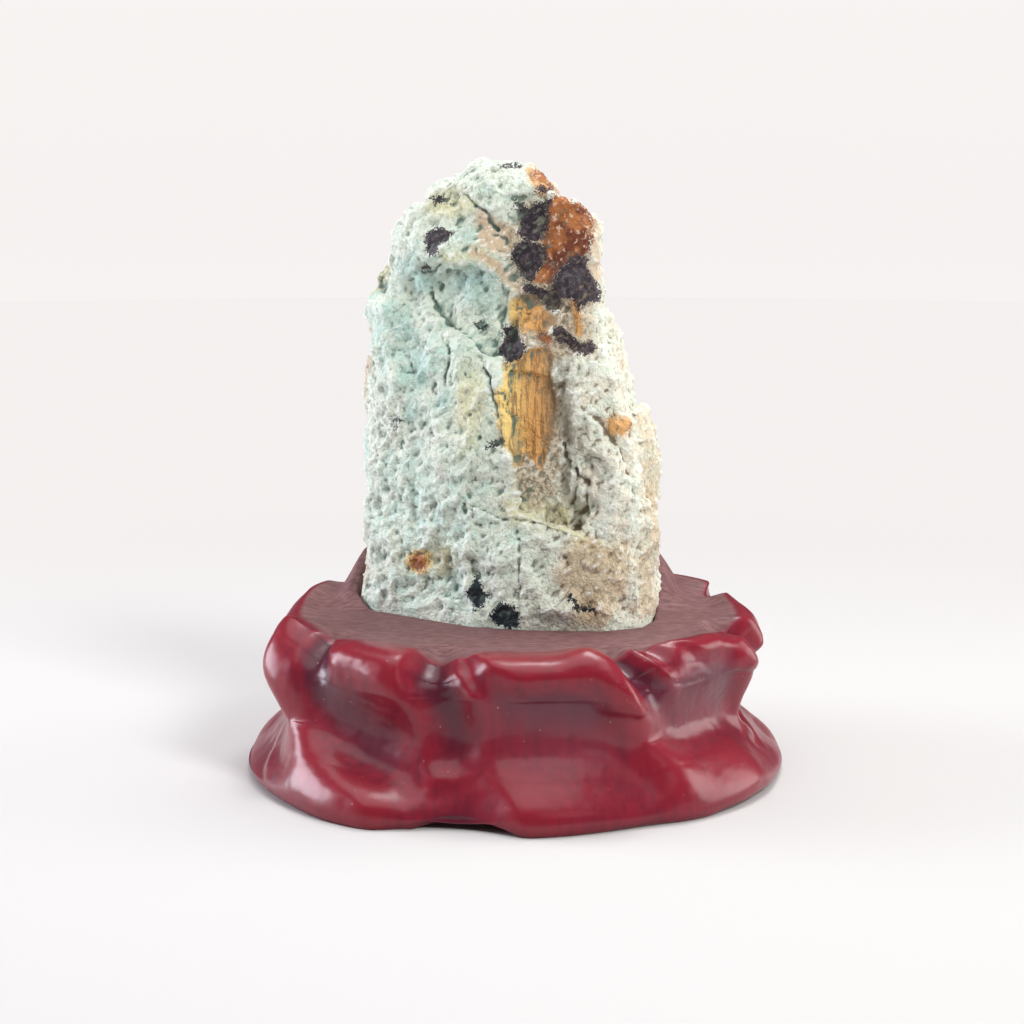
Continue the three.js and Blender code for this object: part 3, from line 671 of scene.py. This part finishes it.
def make_stone():
    piece = bpy.data.objects.new("aquamarine_stone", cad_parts["aquamarine"].data.copy())
    bpy.context.collection.objects.link(piece)
    remesh = piece.modifiers.new("points", "REMESH")
    remesh.mode = "VOXEL"
    remesh.voxel_size = GRAIN * MM
    evaluated = piece.evaluated_get(bpy.context.evaluated_depsgraph_get())
    piece.data = bpy.data.meshes.new_from_object(evaluated)
    piece.modifiers.clear()
    mesh = piece.data
    mesh.materials.clear()
    edges = read(mesh.edges, "vertices", 2, np.int32)
    points = read(mesh.vertices, "co", 3, np.float32).astype(float) / MM - AXIS
    points = shifted_average(points, edges, SHAPE_PASSES)

    def outward(places):
        mesh.vertices.foreach_set("co", ((places + AXIS) * MM).astype(np.float32).ravel())
        mesh.update()
        return read(mesh.vertex_normals, "vector", 3, np.float32).astype(float)

    normal = outward(points)
    view = seen_from_front(points)
    towards = CAMERA - points
    towards /= np.linalg.norm(towards, axis=1)[:, None]
    round_it = (points - STONE_MIDDLE) / STONE_HALF * (1, 1, 0)
    round_it /= np.linalg.norm(round_it, axis=1)[:, None]
    facing = smooth(-0.3, 0.05, np.sum(round_it * towards, axis=1))
    above = smooth(SOCKET_FLOOR + FOOT_HEIGHT, SOCKET_FLOOR + 2 * FOOT_HEIGHT, points[:, 2])
    marks = front_marks(view)
    for name, hidden in hidden_marks(points).items():
        shown, hidden = (np.clip(field, -MARK_REACH, MARK_REACH) for field in (marks[name], hidden))
        marks[name] = lerp(hidden, shown, facing)

    # Broken faces, finer ones inside coarser ones, taller than wide as the prism cleaves
    lift = sum(height * chips(points, reach, seed) for height, reach, seed in BLOCKS)
    lift = lerp(lift, ledges(lift + 0.25 * waves(points, 2.2, 10)), LEDGE_SHARE)
    slanted = points - points[:, :1] * (0, 0, SPLINTER_SLANT)
    lift += chips(slanted, SPLINTER_REACH, 11) - 0.5 * chips(points, 1.6, 12)
    lift += 0.14 * waves(points, 0.9, 13)
    lift -= lift.mean()
    lift -= 1.1 * facing * smooth(-0.2, 1.3, patch(view, AQUA_PANEL))
    # The right side is granular
    granular = smooth(8, 20, points[:, 0]) * smooth(128, 108, points[:, 2])
    lift += granular * (0.16 * waves(points, 1.1, 15) + 0.22 * waves(points, 2.2, 16))
    # Fine upright lines in the channel and down the left flank
    channel = smooth(-0.5, 1.5, patch(view, CHANNEL)) * facing
    upright = waves(points, (1.1, 1.1, 26), 17) + 0.6 * waves(points, (0.55, 0.55, 14), 18)
    lift = lerp(lift, 0.35 * lift + 0.34 * upright - 0.9, channel)
    flank = smooth(-32, -36, points[:, 0])
    lift += 0.16 * flank * upright
    # Plates that stand proud, and cracks
    for outline, height, softness in PLATES:
        lift += facing * height * smooth(-0.2, softness, patch(view, outline))
    wander = np.stack([0.7 * waves(points, 2.4, 21), 0.7 * waves(points, 2.4, 22)], axis=1)
    for path, width, depth in CRACKS:
        lift -= facing * depth * smooth(-0.3, width, line(view + wander, path, width))
    lift -= 0.5 * smooth(0, 2, marks["dark"])
    points += normal * (lift * lerp(0.15, 1, above))[:, None]
    points[:, 2] = np.maximum(points[:, 2], SOCKET_FLOOR)
    normal = outward(points)

    for name, values in marks.items():
        keep(piece, name, values)
    for name, passes in {"crevice": CREVICE_PASSES, "recess": RECESS_PASSES}.items():
        sunk = np.sum((shifted_average(points, edges, passes) - points) * normal, axis=1)
        keep(piece, name, sunk / sunk.std())
    keep(piece, "across", view[:, 0])
    keep(piece, "up", view[:, 1])
    mesh.polygons.foreach_set("use_smooth", [True] * len(mesh.polygons))
    return piece


# Finishes

NOISE_ROUGHNESS = 0.6
FROST = (0.71, 0.77, 0.65)
HIGHLIGHT_WHITE = (0.88, 0.90, 0.87)
PALE_AQUA = (0.50, 0.72, 0.63)
DEEP_AQUA = (0.30, 0.56, 0.51)
WARM_WHITE = (0.80, 0.74, 0.61)
STRAW = (0.70, 0.63, 0.34)
SHADE_GREY = (0.12, 0.12, 0.105)
SAND = (0.60, 0.46, 0.28)
GREEN_GREY = (0.27, 0.31, 0.27)
TAN = (0.66, 0.45, 0.28)
GRIT_BROWN = (0.20, 0.12, 0.055)
GRIT_PALE = (0.62, 0.52, 0.38)
YELLOW = (0.92, 0.65, 0.20)
AMBER = (0.72, 0.36, 0.10)
UMBER = (0.24, 0.18, 0.12)
STREAK = (0.22, 0.095, 0.025)
RUST_BROWN = (0.15, 0.035, 0.014)
RUST_ORANGE = (0.43, 0.15, 0.04)
RUST_FLECK = (0.70, 0.48, 0.36)
PURPLE_BLACK = (0.022, 0.016, 0.022)
MAUVE = (0.10, 0.072, 0.085)
GREEN_BLACK = (0.006, 0.016, 0.020)
GREEN_SHADE = (0.16, 0.24, 0.20)
BROWN_SHADE = (0.22, 0.17, 0.11)

RED = (0.20, 0.010, 0.023)
GRAIN_RED = (0.14, 0.009, 0.021)
SHADED_RED = (0.055, 0.009, 0.022)
LIT_RED = (0.225, 0.011, 0.022)
REFLECTED_MAUVE = (0.21, 0.062, 0.088)
BARE_WOOD = (0.21, 0.115, 0.11)
BARE_GRAIN = (0.12, 0.055, 0.06)
RUBBED = (0.52, 0.30, 0.32)
DUST = (0.62, 0.50, 0.50)

PAPER = (0.545, 0.535, 0.53)
PAPER_FADE = (0.12, 0.42)  # metres from the middle between which lit paper turns into plain background
BLACK = (0, 0, 0)


class Wire:
    """A value inside a finish. Arithmetic on it adds the nodes that work it out."""

    def __init__(self, finish, socket):
        self.finish = finish
        self.socket = socket

    def worked(self, operation, first, second):
        return self.finish.node("ShaderNodeMath", {"operation": operation}, {0: first, 1: second})

    def __add__(self, other):
        return self.worked("ADD", self, other)

    def __radd__(self, other):
        return self.worked("ADD", other, self)

    def __sub__(self, other):
        return self.worked("SUBTRACT", self, other)

    def __rsub__(self, other):
        return self.worked("SUBTRACT", other, self)

    def __mul__(self, other):
        return self.worked("MULTIPLY", self, other)

    def __rmul__(self, other):
        return self.worked("MULTIPLY", other, self)

    def between(self, low, high):
        """0 below low, 1 above high, and a smooth rise in between."""
        sockets = {"Value": self, "From Min": low, "From Max": high}
        return self.finish.node("ShaderNodeMapRange", {"interpolation_type": "SMOOTHSTEP"}, sockets)


class Finish:
    """A material, built up from nodes."""

    def __init__(self, name, **constants):
        self.material = bpy.data.materials.new(name)
        self.material.use_nodes = True
        self.surface = self.material.node_tree.nodes["Principled BSDF"]
        for name, value in constants.items():
            self.shader_socket(name).default_value = value
        self.place = self.node("ShaderNodeTexCoord", output="Object")

    def shader_socket(self, name):
        return self.surface.inputs[name.replace("_", " ").title().replace("Ior", "IOR")]

    def node(self, kind, settings=None, sockets=None, output=0):
        made = self.material.node_tree.nodes.new(kind)
        for name, value in (settings or {}).items():
            setattr(made, name, value)
        for name, value in (sockets or {}).items():
            if isinstance(value, Wire):
                self.material.node_tree.links.new(value.socket, made.inputs[name])
            else:
                made.inputs[name].default_value = value
        return Wire(self, made.outputs[output])

    def kept(self, name):
        return self.node("ShaderNodeAttribute", {"attribute_name": name}, output="Fac")

    def mottle(self, scale, stretch=(1, 1, 1), detail=3.0):
        """Noise from 0 to 1, with a number of waves to the millimetre along each axis."""
        waves_per_metre = [scale * s / MM for s in stretch]
        at = self.node("ShaderNodeVectorMath", {"operation": "MULTIPLY"}, {0: self.place, 1: waves_per_metre})
        sockets = {"Vector": at, "Scale": 1.0, "Detail": detail, "Roughness": NOISE_ROUGHNESS}
        return self.node("ShaderNodeTexNoise", None, sockets)

    def cells(self, scale):
        """Distance to the nearest of many scattered points, a number of them to the millimetre."""
        return self.node("ShaderNodeTexVoronoi", None, {"Vector": self.place, "Scale": scale / MM})

    def blend(self, first, second, share):
        def colour(value):
            return value if isinstance(value, Wire) else (*value, 1.0)

        sockets = {0: share, 6: colour(first), 7: colour(second)}
        return self.node("ShaderNodeMix", {"data_type": "RGBA"}, sockets, output=2)

    def bumps(self, height, strength, distance):
        sockets = {"Height": height, "Strength": strength, "Distance": distance * MM}
        return self.node("ShaderNodeBump", None, sockets)

    def feed(self, **wires):
        for name, wire in wires.items():
            self.material.node_tree.links.new(wire.socket, self.shader_socket(name))


def rough_beryl():
    finish = Finish("rough_beryl", coat_weight=0.12, coat_roughness=0.3)
    broad = finish.mottle(0.06)
    mid = finish.mottle(0.22)
    small = finish.mottle(0.9)
    tiny = finish.mottle(2.6, detail=2)
    ragged = (small - 0.5) * 3.0 + (tiny - 0.5) * 2.2
    soft_edge = (mid - 0.5) * 9.0 + (small - 0.5) * 3.0

    def marked(kind, edge, low, high):
        """Where a kind of mark is, from 0 to 1, with its edge moved about."""
        return (finish.kept(kind) + edge).between(low, high)

    crevice = finish.kept("crevice")
    recess = finish.kept("recess")
    across = finish.kept("across")
    right = across.between(-6, 18)
    left = finish.blend(FROST, PALE_AQUA, (mid * 0.7 + broad * 0.6).between(0.56, 0.92))
    colour = finish.blend(left, finish.blend(FROST, WARM_WHITE, mid.between(0.3, 0.7)), right)
    colour = finish.blend(colour, DEEP_AQUA, marked("aqua", soft_edge, -3, 5) * 0.55)
    colour = finish.blend(colour, STRAW, marked("stain", soft_edge, -3, 2.5) * 0.7)
    # Painted shade: grey darkening along the shade marks, beside the channel and low on the front
    colour = finish.blend(colour, SHADE_GREY, marked("shade", soft_edge, -1, 4) * 0.6)
    colour = finish.blend(colour, SAND, marked("beige", soft_edge, -3, 2) * 0.8)
    colour = finish.blend(colour, GREEN_GREY, small.between(0.50, 0.66) * 0.42)
    colour = finish.blend(colour, TAN, marked("cream", ragged, -0.8, 1.4) * 0.8)
    gritty = finish.blend(GRIT_BROWN, GRIT_PALE, small.between(0.40, 0.56))
    colour = finish.blend(colour, gritty, marked("grit", soft_edge * 0.5, -1, 2) * 0.8)

    # The channel: yellow on its left, brown on its right, with fine upright streaks
    upright = finish.mottle(0.9, (1, 1, 0.06))
    greyer = across.between(6, 11) * (1 - across.between(13, 16)) * 0.8
    yellow_brown = finish.blend(YELLOW, AMBER, across.between(-2, 6))
    yellow_brown = finish.blend(yellow_brown, UMBER, greyer)
    yellow_brown = finish.blend(yellow_brown, STREAK, upright.between(0.50, 0.60) * 0.75)
    ochre = marked("ochre", ragged, -0.6, 0.8) * 0.92
    colour = finish.blend(colour, yellow_brown, ochre)

    orange = finish.blend(RUST_BROWN, RUST_ORANGE, mid.between(0.38, 0.58))
    speckled = finish.blend(orange, RUST_FLECK, small.between(0.57, 0.64) * 0.8)
    rust = marked("rust", 0.5 + ragged * 1.3, -0.2, 0.5)
    colour = finish.blend(colour, speckled, rust)
    dark = marked("dark", 0.3 + ragged * 1.3, -0.1, 0.3)
    purplish = finish.blend(PURPLE_BLACK, MAUVE, small.between(0.48, 0.66))
    blackish = finish.blend(GREEN_BLACK, purplish, finish.kept("up").between(60, 95))
    colour = finish.blend(colour, blackish, dark)

    # Painted shade darkening the crevices and recesses, and a painted highlight on the raised edges
    crevice_shade = crevice.between(0.4, 2.0) * 0.7 + recess.between(0.5, 2.2) * 0.34
    colour = finish.blend(colour, finish.blend(GREEN_SHADE, BROWN_SHADE, right), crevice_shade)
    # Painted highlight: pale white on the raised edges, kept off the dark, ochre and rust marks
    edge_highlight = (0 - crevice).between(0.7, 2.2) * (1 - dark) * (1 - ochre) * (1 - rust) * 0.65
    colour = finish.blend(colour, HIGHLIGHT_WHITE, edge_highlight)
    roughness = 0.42 + small * 0.25 + edge_highlight * 0.1
    grain = finish.cells(1.1) * 0.3 + small * 0.5 + tiny * 0.4
    finish.feed(base_color=colour, roughness=roughness, normal=finish.bumps(grain, 1.0, 0.9))
    return finish.material


def lacquered_wood():
    finish = Finish("lacquered_wood", specular_ior_level=0.35, coat_roughness=0.2)
    grain = finish.mottle(0.5, (1, 1, 0.12), detail=4)
    cloudy = finish.mottle(0.05)
    fine = finish.mottle(1.6, detail=3)
    hollow = finish.kept("hollow")
    top = finish.kept("on_top").between(0.2, 0.9)
    red = finish.blend(RED, GRAIN_RED, grain.between(0.35, 0.7))
    # Painted shade: a darker maroon in the carved hollows
    red = finish.blend(red, SHADED_RED, hollow.between(0.2, 2.0) * 0.8)
    # Painted light: a brighter red on the raised bulges
    red = finish.blend(red, LIT_RED, (0 - hollow).between(0.0, 1.8) * 0.6)
    # Painted reflection: a clouded mauve sheen of the pale floor in the soft scoops
    painted_reflection = finish.kept("scooped").between(0.3, 2.6) * (cloudy.between(0.3, 0.6) * 0.2 + 0.05)
    red = finish.blend(red, REFLECTED_MAUVE, painted_reflection)
    bare = finish.blend(BARE_WOOD, BARE_GRAIN, finish.mottle(0.35, (1, 4, 1)).between(0.35, 0.65))
    colour = finish.blend(red, bare, top * 0.9)
    rubbed = (0 - hollow).between(2.2, 4.2) * fine.between(0.54, 0.66) * 0.22
    colour = finish.blend(colour, RUBBED, rubbed)
    specks = (1 - finish.cells(0.28).between(0.0, 0.10)) * fine.between(0.45, 0.6)
    colour = finish.blend(colour, DUST, specks * 0.5)
    roughness = 0.27 + fine * 0.12 + top * 0.33
    height = grain * 0.5 + fine * 0.35 + specks
    normal = finish.bumps(height, 0.25, 0.15)
    finish.feed(base_color=colour, roughness=roughness, coat_weight=(1 - top) * 0.22, normal=normal)
    return finish.material


def pale_paper():
    finish = Finish("pale_paper", specular_ior_level=0, roughness=0.8, emission_strength=1)
    distance = finish.node("ShaderNodeVectorMath", {"operation": "LENGTH"}, {0: finish.place}, output="Value")
    far = distance.between(*PAPER_FADE)
    glow = finish.blend(BLACK, BACKGROUND, far)
    finish.feed(base_color=finish.blend(PAPER, BLACK, far), emission_color=glow)
    return finish.material


def pale_wall():
    glow = (*BACKGROUND, 1)
    return Finish("pale_wall", base_color=(*BLACK, 1), emission_color=glow, emission_strength=1).material


# The stage, in millimetres from the stand's axis

TURN_STEPS = 96
FLOOR_RADII = (400, 1500)
WALL_RADIUS = 1490
WALL_DROP = -1  # where the wall begins, just under the floor
WALL_BEND = 600
WALL_HEIGHT = 3200
BEND_STEPS = 12
LIGHT_AIM = (0, 0, 60)
WHITE = (1, 1, 1)
ROOM_LIGHT = 0.1
# Each light: name, place, size, power, colour, whether it shows in reflections
LIGHTS = [
    ("overhead", (150, 250, 900), 350, 4, WHITE, True),
    ("key", (600, -850, 800), 350, 12, WHITE, False),
    ("left window", (-750, 120, 200), 480, 7.5, (0.9, 0.9, 1), True),
    ("right window", (750, 120, 200), 480, 3, (1, 0.97, 0.95), True),
    ("ceiling", (0, 0, 2200), 2500, 34, WHITE, True),
]


def turned(name, profile, material, closed=False):
    """A surface turned round the stand's axis from a profile of (radius, height). Closed fills its middle."""
    turns = np.linspace(0, 2 * math.pi, TURN_STEPS, endpoint=False)
    points = np.concatenate([ring(turns, radius, height) for radius, height in profile])
    faces = [list(range(TURN_STEPS))] if closed else []
    for k in range(TURN_STEPS):
        after = (k + 1) % TURN_STEPS
        for start in range(0, (len(profile) - 1) * TURN_STEPS, TURN_STEPS):
            faces.append((start + k, start + TURN_STEPS + k, start + TURN_STEPS + after, start + after))
    surface = mesh_object(name, points, faces)
    surface.data.materials.append(material)
    return surface


def make_stage():
    """A pale round floor, and a pale wall all round it that only the camera sees."""
    turned("floor", [(radius, 0) for radius in FLOOR_RADII], pale_paper(), closed=True)
    profile = []
    for step in range(BEND_STEPS + 1):
        turn = math.radians(90 * step / BEND_STEPS)
        radius = WALL_RADIUS + WALL_BEND * math.sin(turn)
        profile.append((radius, WALL_DROP + WALL_BEND * (1 - math.cos(turn))))
    wall = turned("backdrop", [*profile, (WALL_RADIUS + WALL_BEND, WALL_HEIGHT)], pale_wall())
    wall.visible_diffuse = False
    wall.visible_glossy = False
    wall.visible_shadow = False


def soft_light(name, place, size, power, colour, mirrored):
    light = bpy.data.lights.new(name, "AREA")
    light.size = size * MM
    light.energy = power
    light.color = colour
    lamp = bpy.data.objects.new(name, light)
    bpy.context.collection.objects.link(lamp)
    lamp.location = Vector(place) * MM
    lamp.rotation_euler = (Vector(LIGHT_AIM) - Vector(place)).to_track_quat("-Z", "Y").to_euler()
    lamp.visible_glossy = mirrored


def light_scene():
    world = bpy.data.worlds.new("soft_room")
    world.use_nodes = True
    background = world.node_tree.nodes["Background"]
    background.inputs["Color"].default_value = (*WHITE, 1)
    background.inputs["Strength"].default_value = ROOM_LIGHT
    bpy.context.scene.world = world
    for light in LIGHTS:
        soft_light(*light)
    bpy.context.scene.view_settings.view_transform = "Standard"


def place_camera():
    ahead = AIM - CAMERA
    lens = np.linalg.norm(ahead) / MM_PER_PIXEL / IMAGE_SIZE * SENSOR
    data = bpy.data.cameras.new("camera")
    data.sensor_width = SENSOR
    data.lens = lens
    camera = bpy.data.objects.new("camera", data)
    bpy.context.collection.objects.link(camera)
    camera.location = (CAMERA + AXIS) * MM
    camera.rotation_euler = Vector(ahead).to_track_quat("-Z", "Y").to_euler()
    bpy.context.scene.camera = camera


def dress(piece, node, material):
    piece.data.materials.append(material)
    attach(piece, "root")
    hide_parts(node)


place_camera()
make_stage()
light_scene()
dress(make_stand(), "stand", lacquered_wood())
dress(make_stone(), "aquamarine", rough_beryl())
